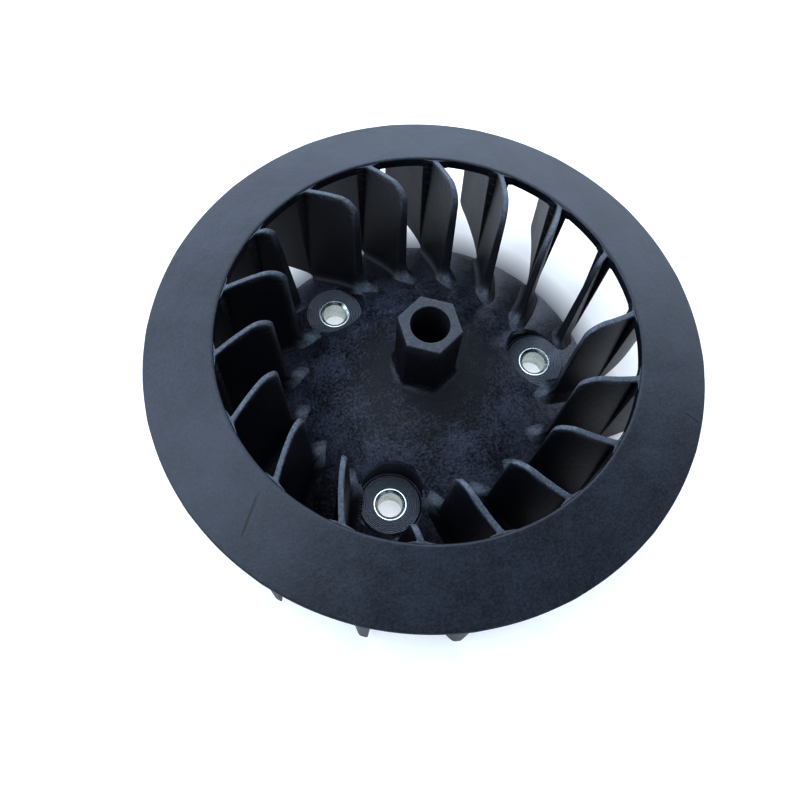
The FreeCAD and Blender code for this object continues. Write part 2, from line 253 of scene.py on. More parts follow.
def circle(radius, count, centre=(0.0, 0.0)):
    """Points on a circle in plan."""
    turn = np.arange(count) * 2 * math.pi / count
    return np.column_stack([centre[0] + radius * np.cos(turn), centre[1] + radius * np.sin(turn)])


def level_row(plan, height):
    """Points at one height, or at one height each, over points in plan."""
    return np.column_stack([plan, np.broadcast_to(height, len(plan))])


def lathe(profile, segments, centre=(0.0, 0.0)):
    """Rows of points, one per profile point, turned about a vertical axis."""
    return [level_row(circle(away, segments, centre), height) for away, height in profile]


def triangulate(points, loops):
    """Points and triangles of a plane region, with each loop of point numbers kept as edges."""
    edges = [(a, b) for loop in loops for a, b in zip(loop, loop[1:] + loop[:1])]
    corners = [Vector(p) for p in points]
    made = delaunay_2d_cdt(corners, edges, [], WHOLE_HULL, MERGE_DISTANCE, False)
    return np.array(made[0]), np.array(made[2])


def arc_step(offset, radius):
    """How far a rounding of this radius stands off, at a distance from where it ends."""
    run = np.clip(radius - offset, 0, radius)
    return radius - np.sqrt(np.maximum(radius**2 - run**2, 0))


# ---------------------------------------------------------------- shroud ring

RING_SEGMENTS = 720
SINK_DEPTH = 0.045
SINK_WIDTH = 1.5
RIM_PULL = 0.07
RIM_PULL_WIDTH = 2.2
RIM_WAVE = 0.05
RIM_WAVES = 3
RIM_WAVE_START = 0.7
RIM_BAND = 6.0
RIM_WALL_WEAR = -1.0


def camber_cosine(radius, bow=CAMBER_RADIUS):
    """Cosine of the angle on an arc about the camber's centre, at a distance from the spin axis."""
    return (CAMBER_REACH**2 + bow**2 - radius**2) / (2 * CAMBER_REACH * bow)


def camber_point(radius, height, aside):
    """The place at one distance from the spin axis on the camber arc, moved aside from it."""
    bow = CAMBER_RADIUS + aside
    start = math.atan2(CAMBER_CENTRE[1], CAMBER_CENTRE[0]) - math.pi
    turn = start + np.arccos(camber_cosine(radius, bow))
    return np.column_stack([
        CAMBER_CENTRE[0] + bow * np.cos(turn),
        CAMBER_CENTRE[1] + bow * np.sin(turn),
        height,
    ])


def make_ring():
    """The conical ring, with faint sink lines over the blades and a rim that is not quite true."""
    profile = rounded([
        (EYE_RADIUS, LIP_FOOT, 0.3),
        (LIP_BACK, LIP_FOOT, 0.25),
        (LIP_BACK, ring_back(LIP_BACK), 0.5),
        (RING_RADIUS, RING_LOW, 0.5),
        (RING_RADIUS, RING_EDGE, 0.6),
        (EYE_RADIUS, EYE_HEIGHT, 0.6),
    ], longest=1.2)
    rows = lathe(profile, RING_SEGMENTS)
    pitch = math.radians(BLADE_PITCH)
    for row, (away, height) in zip(rows, profile):
        turn = np.arctan2(row[:, 1], row[:, 0])
        camber = camber_point(np.array([min(away, TIP_RADIUS)]), np.array([0.0]), 0.0)[0]
        over_blade = math.radians(BLADE_START) + math.atan2(camber[1], camber[0])
        gap = ((turn - over_blade + pitch / 2) % pitch - pitch / 2) * away
        near_rim = smooth(RING_RADIUS - RIM_BAND, RING_RADIUS, away)
        past_eye = smooth(EYE_RADIUS + 0.5, EYE_RADIUS + 2, away)
        on_top = past_eye * (height > ring_top(away) - RING_WALL / 2)
        row[:, 2] -= SINK_DEPTH * np.exp(-((gap / SINK_WIDTH) ** 2)) * on_top * (1 - near_rim)
        pull = RIM_PULL * (1 - np.exp(-((gap / RIM_PULL_WIDTH) ** 2)))
        wave = RIM_WAVE * (1 + np.sin(RIM_WAVES * turn + RIM_WAVE_START))
        row[:, :2] *= (1 - near_rim * (pull + wave) / away)[:, None]
    rows += rows[:1]
    outer_wall = [
        np.hypot(*row[0][:2]) > RING_RADIUS - 0.25 and row[0][2] < RING_EDGE - 0.1 for row in rows
    ]
    shell = Shell()
    shell.strip(rows, wear_and_painted_highlight=[RIM_WALL_WEAR * on_wall for on_wall in outer_wall])
    shell.make("shroud_ring_moulding", ring_plastic, ["shroud_ring"])


# ---------------------------------------------------------------- hub

HUB_SEGMENTS = 300
COLLAR_SEGMENTS = 96
PATCH_RADIUS = 11.2
FILL_SPACING = 2.0
FILL_START = 11.5
RIM_ROUND = 0.35
STEP_LEAN = 0.04
NOSE_CORNER_ROUND = 0.45
NOSE_TOP_ROUND = 0.45
NOSE_MOUTH_ROUND = 0.3
# How pale the nose's top is painted: spanner rubbing and a painted highlight.
NOSE_RUB_AND_HIGHLIGHT = 0.28
ARC_DEGREES = [0, 18, 36, 54, 72, 90]


def nose_outline():
    """Points round the nose's plan, with slightly rounded corners, and their outward directions."""
    points, outward = [], []
    inner_flat = HEX_FLAT - NOSE_CORNER_ROUND
    half_side = inner_flat * math.tan(math.radians(30))
    for side in range(6):
        middle_turn = math.radians(60 * side)
        face = np.array([math.cos(middle_turn), math.sin(middle_turn)])
        along = np.array([-face[1], face[0]])
        for k in range(9):
            points.append(face * HEX_FLAT + along * half_side * (k / 4 - 1))
            outward.append(face)
        centre = face * inner_flat + along * half_side
        for k in range(1, 6):
            turn = middle_turn + math.radians(10 * k)
            ray = np.array([math.cos(turn), math.sin(turn)])
            points.append(centre + ray * NOSE_CORNER_ROUND)
            outward.append(ray)
    return np.array(points), np.array(outward)


NOSE_POINTS, NOSE_OUTWARD = nose_outline()
FOOT_ANGLE = math.atan(CONE_SLOPE)
FOOT_TANGENT = FOOT_ROUND / math.tan((math.pi / 2 + FOOT_ANGLE) / 2)


def nose_foot_row(angle):
    """Points on the rounding between the nose and the cone, at one angle of its arc."""
    out = FOOT_ROUND * (1 + math.cos(angle))
    rise = FOOT_TANGENT + FOOT_ROUND * math.sin(angle) + CONE_SLOPE * out
    plan = NOSE_POINTS + NOSE_OUTWARD * out
    return level_row(plan, cone_top(axis_distances(plan)) + rise)


def plane_rings(spacing, low, high, count):
    """Points on rings between two distances from the axis, staggered from ring to ring."""
    rings = []
    for number, radius in enumerate(np.arange(low, high, spacing)):
        turn = (np.arange(count) + 0.5 * (number % 2)) * 2 * math.pi / count
        rings.append(np.column_stack([radius * np.cos(turn), radius * np.sin(turn)]))
    return np.vstack(rings)


def collar_gaps(plan):
    """Distance from each point in plan to the nearest collar's axis."""
    return np.min([axis_distances(plan - centre) for centre in COLLARS], axis=0)


def cone_patch(shell, height, inner, outer):
    """Triangles of a cone's face between two loops, leaving out the collar patches."""
    fill = plane_rings(FILL_SPACING, FILL_START, np.hypot(*outer[0]) - 1.0, HUB_SEGMENTS // 2)
    fill = fill[collar_gaps(fill) > PATCH_RADIUS + 0.8]
    patch_loops = [circle(PATCH_RADIUS, COLLAR_SEGMENTS, centre) for centre in COLLARS]
    groups = [outer, inner, *patch_loops]
    loops, start = [], 0
    for group in groups:
        loops.append(list(range(start, start + len(group))))
        start += len(group)
    plan, triangles = triangulate(np.vstack([*groups, fill]), loops)
    centres = plan[triangles].mean(axis=1)
    keep = (collar_gaps(centres) > PATCH_RADIUS * 0.999) & outside(centres, inner)
    shell.add(level_row(plan, height(axis_distances(plan))), triangles[keep])


def outside(points, loop):
    """Whether points lie outside a loop that is star-shaped about the spin axis."""
    loop_turn = np.arctan2(loop[:, 1], loop[:, 0])
    order = np.argsort(loop_turn)
    reach = np.interp(
        np.arctan2(points[:, 1], points[:, 0]),
        loop_turn[order],
        axis_distances(loop)[order],
        period=2 * math.pi,
    )
    return axis_distances(points) > reach * 0.9995


def stepped(distance, floor, beyond, step):
    """A height that steps from a floor to a surface beyond it. A step is its place, the rounding
    on the floor's side and the rounding on the far side."""
    edge, foot_round, brim_round = step
    tall = np.abs(beyond - floor)
    way = np.sign(beyond - floor)
    foot = np.minimum(foot_round, tall / 2) + 1e-6
    brim = np.minimum(brim_round, tall / 2) + 1e-6
    share = (distance - edge) / STEP_LEAN
    near = floor + way * arc_step(edge - distance, foot)
    wall = floor + way * (foot + (tall - foot - brim) * np.clip(share, 0, 1))
    far = beyond - way * arc_step(distance - edge - STEP_LEAN, brim)
    return np.where(share <= 0, near, np.where(share >= 1, far, wall))


def step_radii(step):
    """Distances from a collar's axis that follow a rounded step."""
    edge, foot_round, brim_round = step
    arc = 1 - np.cos(np.radians(ARC_DEGREES))
    return sorted([*(edge - foot_round * arc), *(edge + STEP_LEAN + brim_round * arc)])


BOSS_STEP = (BOSS_RADIUS, 0.2, 0.3)
POCKET_STEP = (POCKET_RADIUS, 0.3, 0.6)
BOSS_FOOT_STEP = (BOSS_RADIUS, 0.3, 0.5)
CUP_STEP = (BOSS_RADIUS + CUP_WALL, 0.4, 0.5)


def hub_top_near_collar(plan, distance):
    """Height of the hub's top around a collar: the boss, the moat round it and the cone."""
    top = cone_top(axis_distances(plan))
    moat = np.minimum(MOAT_FLOOR, top)
    inner = stepped(distance, BOSS_TOP, moat, BOSS_STEP)
    outer = stepped(distance, moat, top, POCKET_STEP)
    return np.where(distance < (BOSS_RADIUS + POCKET_RADIUS) / 2, inner, outer)


def hub_under_near_collar(plan, distance):
    """Height of the hub's underside around a collar: the boss's foot, the cup and the cone."""
    under = cone_under(axis_distances(plan))
    cup = np.minimum(under, CUP_FLOOR)
    inner = stepped(distance, BOSS_GAP, cup, BOSS_FOOT_STEP)
    outer = stepped(distance, cup, under, CUP_STEP)
    return np.where(distance < BOSS_RADIUS + CUP_WALL / 2, inner, outer)


def collar_patches(shell, height, steps):
    """Structured patches around the collars' seats."""
    radii = [COLLAR_RADIUS, COLLAR_RADIUS + 0.4, COLLAR_RADIUS + 1.6]
    for step in steps:
        radii += step_radii(step)
    radii.append(PATCH_RADIUS)
    for centre in COLLARS:
        rows = []
        for radius in radii:
            plan = circle(radius, COLLAR_SEGMENTS, centre)
            rows.append(level_row(plan, height(plan, np.full(len(plan), radius))))
        shell.strip(rows)


def make_hub():
    """The conical hub with its nose, bosses and cups, as one closed skin."""
    shell = Shell()
    foot_angles = np.linspace(math.pi, math.pi * 1.5 - FOOT_ANGLE, 7)
    foot_rows = [nose_foot_row(angle) for angle in foot_angles]
    guide_radius = DISC_RADIUS - 4
    rim = rounded([
        (guide_radius, 0.0, 0.0),
        (DISC_RADIUS, 0.0, RIM_ROUND),
        (DISC_RADIUS, RIM_HEIGHT, RIM_ROUND),
        (guide_radius, cone_top(guide_radius), 0.0),
    ], steps=4)[1:-1]
    rim_rows = lathe(rim, HUB_SEGMENTS)
    face_radius = DISC_RADIUS - (DISC_WALL - RIM_HEIGHT) / CONE_SLOPE
    under_rim = lathe([(face_radius, 0.0)], HUB_SEGMENTS)
    shell.strip(under_rim + rim_rows)
    cone_patch(shell, cone_top, foot_rows[-1][:, :2], rim_rows[-1][:, :2])
    collar_patches(shell, hub_top_near_collar, [BOSS_STEP, POCKET_STEP])
    bore_turn = np.arctan2(NOSE_POINTS[:, 1], NOSE_POINTS[:, 0])
    bore_plan = np.column_stack([np.cos(bore_turn), np.sin(bore_turn)]) * BORE_RADIUS
    bore_foot = level_row(bore_plan, cone_under(BORE_RADIUS))
    cone_patch(shell, cone_under, bore_plan, under_rim[0][:, :2])
    collar_patches(shell, hub_under_near_collar, [BOSS_FOOT_STEP, CUP_STEP])
    seat = [(COLLAR_RADIUS, BOSS_TOP), (COLLAR_RADIUS, BOSS_GAP)]
    for centre in COLLARS:
        shell.strip(lathe(seat, COLLAR_SEGMENTS, centre))
    rows = foot_rows[::-1] + nose_rows(foot_rows[0], bore_plan) + [bore_foot]
    # The nose's top, its rounding and its bore's mouth are painted paler: partly spanner rubbing,
    # partly a painted highlight.
    shell.strip(rows, wear_and_painted_highlight=[NOSE_RUB_AND_HIGHLIGHT * (row[0][2] > HEX_TOP - 0.5) for row in rows])
    bosses = [f"boss_{index}" for index in (1, 2, 3)]
    shell.make("hub_moulding", hub_plastic, ["hub_disc", "hex_nose", *bosses])


def nose_rows(wall_foot, bore_plan):
    """Rows up the nose's wall, over its rounded top and into its bore."""
    rows = []
    for share in (0.2, 0.4, 0.6, 0.8):
        height = wall_foot[:, 2] + share * (HEX_TOP - NOSE_TOP_ROUND - wall_foot[:, 2])
        rows.append(level_row(NOSE_POINTS, height))
    for angle in np.radians(ARC_DEGREES):
        drawn_in = NOSE_TOP_ROUND * (1 - math.cos(angle))
        height = HEX_TOP - NOSE_TOP_ROUND * (1 - math.sin(angle))
        rows.append(level_row(NOSE_POINTS - NOSE_OUTWARD * drawn_in, height))
    for angle in np.radians([90, 60, 30, 0]):
        widened = 1 + NOSE_MOUTH_ROUND * (1 - math.cos(angle)) / BORE_RADIUS
        height = HEX_TOP - NOSE_MOUTH_ROUND * (1 - math.sin(angle))
        rows.append(level_row(bore_plan * widened, height))
    return rows


# ---------------------------------------------------------------- blades

EDGE_ROUND = 0.4
TAIL_ROUND = 0.55
# How wide the paler band along a blade's crown is, and how pale its toe and step are painted: the
# crown band is rubbing with a painted highlight, lighter towards the top; the toe and the step are
# painted highlights.
CROWN_HIGHLIGHT_AND_RUB_WIDTH = 0.75
TOE_PAINTED_HIGHLIGHT = 1.0
STEP_PAINTED_HIGHLIGHT = 0.4
HUB_FILLET = 2.9
ROOT_BITE = 0.25
RING_FILLET = 1.0
STEP_CORNER = 0.35
STEP_RUN = 0.03
TIP_CORNER = 2.6
TIP_THINNED = 0.3
LEAST_HALF = 0.12
CROWN_END = EYE_HEIGHT - 0.6
OVERLAP = 0.7
LEAD_SPACING = 0.5
TAIL_SPACING = 0.8


def lead_line(crown, foot, root_round):
    """The blade's free inner edge, in distance from the axis and height, from the cone up over
    the crown to the eye. The crown is a place and its rounding. The foot is a place on the
    edge's straight part, and its height is counted from the cone."""
    crown_radius, crown_height, crown_round = crown
    foot_radius, foot_height = foot
    foot_level = cone_top(foot_radius) + foot_height
    lean = (crown_radius - foot_radius) / (crown_height - foot_level)
    cone_apex = RIM_HEIGHT + CONE_SLOPE * DISC_RADIUS
    meet = (foot_radius - lean * (foot_level - cone_apex)) / (1 + lean * CONE_SLOPE)
    guide = meet - 12
    return rounded([
        (guide, cone_top(guide), 0.0),
        (meet, cone_top(meet), root_round),
        (crown_radius, crown_height, crown_round),
        (EYE_RADIUS, CROWN_END, 0.0),
    ], steps=12)[1:]


def resample(points, spacing):
    """Points along an open line at most this far apart, with its own points kept."""
    finer = []
    for here, after in zip(points[:-1], points[1:]):
        cuts = max(1, math.ceil(np.linalg.norm(after - here) / spacing))
        finer += [here + (after - here) * k / cuts for k in range(cuts)]
    return np.array(finer + [points[-1]])


def line_distance(points, line):
    """Least distance from each point to an open line."""
    best = np.full(len(points), 1e9)
    for here, after in zip(line[:-1], line[1:]):
        side = after - here
        t = np.clip(((points - here) @ side) / (side @ side), 0, 1)
        best = np.minimum(best, np.hypot(*(points - here - t[:, None] * side).T))
    return best


def developed(points):
    """Distance along the camber and height, from distance from the axis and height."""
    along = CAMBER_RADIUS * np.arccos(camber_cosine(points[:, 0]))
    return np.column_stack([along, points[:, 1]])


def inset(line, depth):
    """A line moved to its right by a depth in the developed plane, back in radius and height."""
    flat = developed(line)
    run = np.gradient(flat, axis=0)
    run /= np.linalg.norm(run, axis=1)[:, None]
    flat = flat + depth * np.column_stack([run[:, 1], -run[:, 0]])
    cosine = np.cos(flat[:, 0] / CAMBER_RADIUS)
    squared = CAMBER_REACH**2 + CAMBER_RADIUS**2 - 2 * CAMBER_REACH * CAMBER_RADIUS * cosine
    return np.column_stack([np.sqrt(squared), flat[:, 1]])


RING_LINE = np.array([
    [EYE_RADIUS, CROWN_END],
    [EYE_RADIUS, LIP_FOOT],
    [LIP_BACK, LIP_FOOT],
    [LIP_BACK, ring_back(LIP_BACK)],
    [RING_RADIUS, RING_LOW],
])


def blade_half_wall(points, free_lead, free_tail):
    """Half the blade's thickness at points given by distance from the axis and height."""
    radius, height = points[:, 0], points[:, 1]
    flat = developed(points)
    inner = HALF_WALL - INNER_DRAFT * (height - BLADE_FOOT)
    outer = HALF_WALL + OUTER_DRAFT * (height - BLADE_FOOT)
    past = radius - EYE_RADIUS
    corner = np.minimum(STEP_CORNER, np.maximum(outer - inner, 1e-6) / 2)
    before = inner + arc_step(-past, corner)
    after = outer - arc_step(past - STEP_RUN, corner)
    half = np.where(past <= 0, before, after)
    over_hub = radius < DISC_RADIUS
    hub_gap = np.where(over_hub, (height - cone_top(radius)) / CONE_SECANT, HUB_FILLET)
    root = arc_step(np.maximum(hub_gap + ROOT_BITE, 0), HUB_FILLET)
    half = half + root * (1 - smooth(DISC_RADIUS - 2, DISC_RADIUS, radius))
    beside_ring = (height < ring_back(radius)) | (radius < LIP_BACK)
    ring_gap = np.where(beside_ring, line_distance(flat, developed(RING_LINE)), 0.0)
    half = half + arc_step(ring_gap, RING_FILLET) * (radius > EYE_RADIUS - RING_FILLET)
    half = half * (1 - TIP_THINNED * smooth(EYE_RADIUS + 6, TIP_RADIUS, radius))
    low = (1 - smooth(0.3, 4.5, hub_gap) * over_hub) * (radius < EYE_RADIUS - 2)
    lead_round = EDGE_ROUND + np.maximum(half - EDGE_ROUND - 0.3, 0) * low
    half = half - arc_step(line_distance(flat, developed(free_lead)), lead_round)
    half = half - arc_step(line_distance(flat, developed(free_tail)), TAIL_ROUND)
    return np.maximum(half, LEAST_HALF)


def blade_edges(lead):
    """The blade's free inner and outer edges, and its whole border."""
    toe = lead[0]
    sunk_toe = np.array([toe[0] - 0.3, cone_top(toe[0]) - SUNK])
    eye_end = np.array([EYE_RADIUS + 0.3, lead[-1][1] - 0.1])
    lip_clear = LIP_BACK + 0.2
    in_ring = np.array([
        [lip_clear, ring_back(lip_clear) + OVERLAP],
        [TIP_RADIUS, ring_back(TIP_RADIUS) + OVERLAP],
    ])
    tip_line = rounded([
        (*in_ring[-1], 0.0),
        (TIP_RADIUS, BLADE_FOOT, TIP_CORNER),
        (DISC_RADIUS, BLADE_FOOT, 0.0),
    ], steps=8)[:-1]
    lift_off = DISC_RADIUS + 0.15
    foot_line = np.array([
        [lift_off + 1.6, BLADE_FOOT],
        [lift_off + 0.5, BLADE_FOOT - 0.35],
        [lift_off, RIM_HEIGHT - 0.2],
    ])
    hub_line = np.array([
        [DISC_RADIUS - 0.4, RIM_HEIGHT - SUNK - 0.2],
        sunk_toe,
    ])
    free_lead = np.vstack([lead, eye_end])
    free_tail = np.vstack([tip_line, foot_line])
    border = np.vstack([
        resample(free_lead, LEAD_SPACING)[:-1],
        resample(np.vstack([eye_end, in_ring]), TAIL_SPACING)[:-1],
        resample(free_tail, TAIL_SPACING),
        resample(hub_line, 0.6),
    ])
    return free_lead, free_tail, border


def blade_fill(free_lead, free_tail):
    """Points inside the blade's border, close together along its edges, its fillets and the step
    at the eye."""
    toe_radius = free_lead[0][0]
    groups = []
    for depth in EDGE_ROUND * (1 - np.cos(np.radians([22, 42, 62, 90]))):
        depth = max(depth, 0.03)
        groups.append(inset(resample(free_lead, LEAD_SPACING), depth))
        groups.append(inset(resample(free_tail, TAIL_SPACING), TAIL_ROUND / EDGE_ROUND * depth))
    near_toe = free_lead[free_lead[:, 1] < cone_top(free_lead[:, 0]) + 9]
    for depth in (0.65, 0.95, 1.3, 1.75, 2.3, 2.9):
        groups.append(inset(resample(near_toe, 0.4), depth))
    root = np.arange(toe_radius - 1, DISC_RADIUS, 0.7)
    for gap in HUB_FILLET * (1 - np.cos(np.radians([0, 14, 24, 34, 45, 56, 68, 80, 90]))):
        groups.append(np.column_stack([root, cone_top(root) + (gap - ROOT_BITE) * CONE_SECANT]))
    for gap in (0.0, 0.06, 0.2, 0.42, 0.7, 1.0):
        far = np.arange(LIP_BACK + gap, TIP_RADIUS, 0.9)
        groups.append(np.column_stack([far, ring_back(far) - gap * 1.1]))
        near = np.arange(EYE_RADIUS, LIP_BACK + gap, 0.3)
        groups.append(np.column_stack([near, np.full(len(near), LIP_FOOT - gap)]))
    rise = np.arange(BLADE_FOOT + 0.6, EYE_HEIGHT - 1.2, 0.8)
    for shift in (-1.0, -0.35, -0.22, -0.1, -0.03, 0.0, 0.03, 0.1, 0.25, 0.5, 1.2):
        groups.append(np.column_stack([np.full(len(rise), EYE_RADIUS + shift), rise]))
    for number, away in enumerate(np.arange(32.0, TIP_RADIUS - 0.6, 1.6)):
        column = np.arange(BLADE_FOOT + 0.8 + (number % 2), 48.0, 2.0)
        groups.append(np.column_stack([np.full(len(column), away), column]))
    return np.vstack(groups)


def blade_wear_and_highlight(plan, free_lead):
    """How pale each point of a blade is painted: along its crown by rubbing and a painted
    highlight, paler towards the top, and with painted highlights at its toe and on its step.
    """
    radius, height = plan[:, 0], plan[:, 1]
    lead_gap = line_distance(developed(plan), developed(free_lead))
    crown = (1 - smooth(0.15, CROWN_HIGHLIGHT_AND_RUB_WIDTH, lead_gap)) * (0.25 + 0.75 * smooth(34, 45, height))
    low = 1 - smooth(1.5, 4.5, height - cone_top(radius))
    toe = low * (1 - smooth(1.0, 4.0, lead_gap)) * (radius < DISC_RADIUS - 2)
    step = 1 - smooth(0.1, 0.4, np.abs(radius - EYE_RADIUS - 0.15))
    return np.max([crown, TOE_PAINTED_HIGHLIGHT * toe, STEP_PAINTED_HIGHLIGHT * step], axis=0)


def blade_skin(lead):
    """Points, faces and painted paleness, from rubbing and painted highlights, of one blade before
    it is turned to its place.
    """
    lead = lead[lead[:, 1] > cone_top(lead[:, 0]) - 1e-6]
    free_lead, free_tail, border = blade_edges(lead)
    fill = blade_fill(free_lead, free_tail)
    fill = thinned(fill[inside(fill, border)], border)
    plan, triangles = triangulate(np.vstack([border, fill]), [list(range(len(border)))])
    triangles = triangles[inside(plan[triangles].mean(axis=1), border)]
    half = blade_half_wall(plan, free_lead, free_tail)
    first = camber_point(plan[:, 0], plan[:, 1], half)
    second = camber_point(plan[:, 0], plan[:, 1], -half)
    count = len(plan)
    faces = [tuple(t) for t in triangles] + [tuple(t[::-1] + count) for t in triangles]
    faces += [(b, a, a + count, b + count) for a, b in boundary(triangles)]
    return np.vstack([first, second]), faces, np.tile(blade_wear_and_highlight(plan, free_lead), 2)


def inside(points, border):
    """Whether points lie inside a closed border."""
    result = np.zeros(len(points), bool)
    for here, after in zip(border, np.roll(border, -1, axis=0)):
        crosses = (here[1] > points[:, 1]) != (after[1] > points[:, 1])
        rise = after[1] - here[1] if after[1] != here[1] else 1e-12
        reach = here[0] + (points[:, 1] - here[1]) * (after[0] - here[0]) / rise
        result ^= crosses & (points[:, 0] < reach)
    return result


def thinned(points, border, least=0.05):
    """The points, without any that crowd the border or an earlier point."""
    closed = np.vstack([border, border[:1]])
    points = points[line_distance(points, closed) > 0.02]
    kept, cells = [], set()
    around = [(i, j) for i in (-1, 0, 1) for j in (-1, 0, 1)]
    for point in points:
        column, row = round(point[0] / least), round(point[1] / least)
        if not any((column + i, row + j) in cells for i, j in around):
            cells.add((column, row))
            kept.append(point)
    return np.array(kept)


def boundary(triangles):
    """Directed edges that only one triangle has."""
    edges = {edge: True for a, b, c in triangles for edge in ((a, b), (b, c), (c, a))}
    return [edge for edge in edges if (edge[1], edge[0]) not in edges]


def make_blades():
    """Eighteen blades, of which the three beside the collars are short."""
    long_blade = blade_skin(lead_line((37.7, 49.0, 3.8), (36.6, 5.6), 3.8))
    short_blade = blade_skin(lead_line((47.6, 45.5, 2.0), (43.9, 2.4), 1.2))
    for index in range(BLADE_COUNT):
        beside_collar = index % (BLADE_COUNT // len(COLLARS)) == 0
        points, faces, wear_and_painted_highlight = short_blade if beside_collar else long_blade
        turn = Matrix.Rotation(math.radians(BLADE_START + index * BLADE_PITCH), 3, "Z")
        shell = Shell()
        shell.add(points @ np.array(turn).T, faces, wear_and_painted_highlight)
        node = f"blade_{index + 1:02d}"
        shell.make(f"{node}_moulding", blade_plastic, [node])


# ---------------------------------------------------------------- collars

COLLAR_MOUTH = 4.05
MOUTH_DEPTH = 0.75


def make_collars():
    """Three plated steel collars with countersunk mouths."""
    profile = rounded([
        (BOLT_RADIUS, 0.0, 0.35),
        (COLLAR_RADIUS, 0.0, 0.2),
        (COLLAR_RADIUS, BOSS_TOP, 0.2),
        (COLLAR_MOUTH, BOSS_TOP, 0.08),
        (BOLT_RADIUS, BOSS_TOP - MOUTH_DEPTH, 0.3),
    ], steps=6)
    for index, centre in enumerate(COLLARS, start=1):
        shell = Shell()
        rows = lathe(profile, COLLAR_SEGMENTS, centre)
        shell.strip(rows + rows[:1])
        shell.make(f"collar_{index}_steel", zinc, [f"collar_{index}"])


# ---------------------------------------------------------------- materials

# Scales of the nylon's mottling, in features per metre, and depths of its pits, in metres.
DRIFT_SCALE = 80
CLOUD_SCALE = 110
BLOTCH_SCALE = 420
GRAIN_SCALE = 1500
COARSE_PIT = 0.00016
FINE_PIT = 0.00008

# Painted shade: the hub's colour is darkened round the nose, where the nose's shadow falls, fully
# within the first of these distances from the spin axis and fading out by the second; the skin
# there is also duller, but not on the nose.
NOSE_SHADE_NEAR = 10.0
NOSE_SHADE_FAR = 24.0
NOSE_SHADE_DULL = 0.45
NOSE_CLEAR = 8.2

# The bosses' faces are turned, in rings this far apart.
TURNING_PITCH = 0.45
TURNED = (0.165, 0.175, 0.195)
# Paler colour that edges are mixed towards, for rubbing and for painted highlights.
PALE_RUB_AND_HIGHLIGHT = (0.100, 0.110, 0.126)

# A flow line and a nick: their ends in (distance, azimuth), their width and their depth.
RING_MARKS = [
    ((55.2, -149.9), (65.6, -146.1), 0.9, 0.9),
    ((64.9, -32.2), (69.6, -32.9), 0.5, 4.0),
]


def polar(distance, azimuth):
    """A place in plan, in metres, from millimetres and degrees."""
    turn = math.radians(azimuth)
    return Vector((distance * math.cos(turn), distance * math.sin(turn), 0)) * MM


